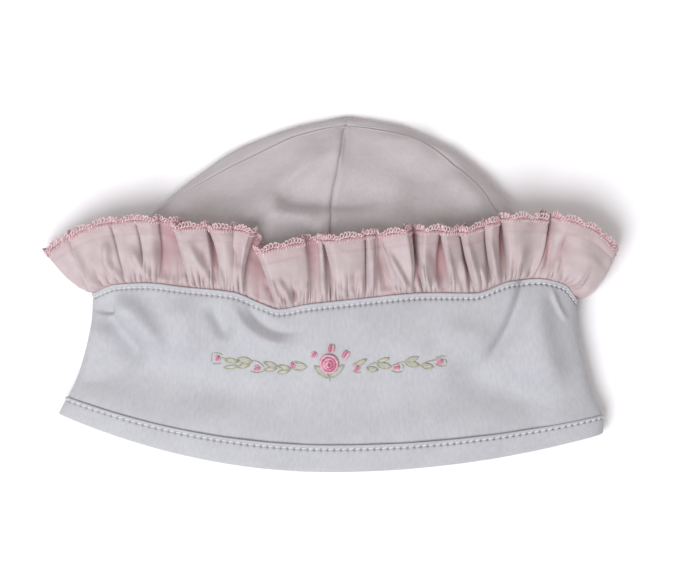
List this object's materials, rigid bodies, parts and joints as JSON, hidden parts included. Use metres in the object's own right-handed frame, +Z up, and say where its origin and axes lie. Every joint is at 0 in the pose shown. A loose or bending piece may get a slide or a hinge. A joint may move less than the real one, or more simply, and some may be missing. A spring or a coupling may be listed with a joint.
{
  "type": "baby hat with ruffle",
  "caption": "Infant's soft cotton hat lying flat on its back: gored crown, deep turned-up cuff with a folded hem, gathered ruffle with a lace edge, and an embroidered rose.",
  "frame": {"origin": "middle of the hat's box in X and Y, on the surface that the hat lies on", "axes": "+Y from the mouth to the tip of the crown, +Z up out of the front that shows, +X to the right of that front as it is seen from above"},
  "size_m": [0.1899, 0.1175, 0.0278],
  "materials": {
    "white_jersey": "matt cotton interlock jersey",
    "pink_batiste": "fine plain-woven cotton batiste",
    "pink_lace": "crocheted cotton thread",
    "embroidery_floss": "mercerised stranded cotton"
  },
  "bodies": {
    "root": {"crown_front_left": "white_jersey", "crown_front_right": "white_jersey", "crown_back_left": "white_jersey", "crown_back_right": "white_jersey", "cuff": "white_jersey", "hem_band": "white_jersey", "ruffle": "pink_batiste", "ruffle_lace": "pink_lace", "rose": "embroidery_floss", "bud_above_rose": "embroidery_floss", "bud_left_of_rose": "embroidery_floss", "bud_right_of_rose": "embroidery_floss", "vine_bud_1": "embroidery_floss", "vine_bud_2": "embroidery_floss", "vine_bud_3": "embroidery_floss", "vine_bud_4": "embroidery_floss", "vine_bud_5": "embroidery_floss", "vine_bud_6": "embroidery_floss"}
  },
  "joints": []
}
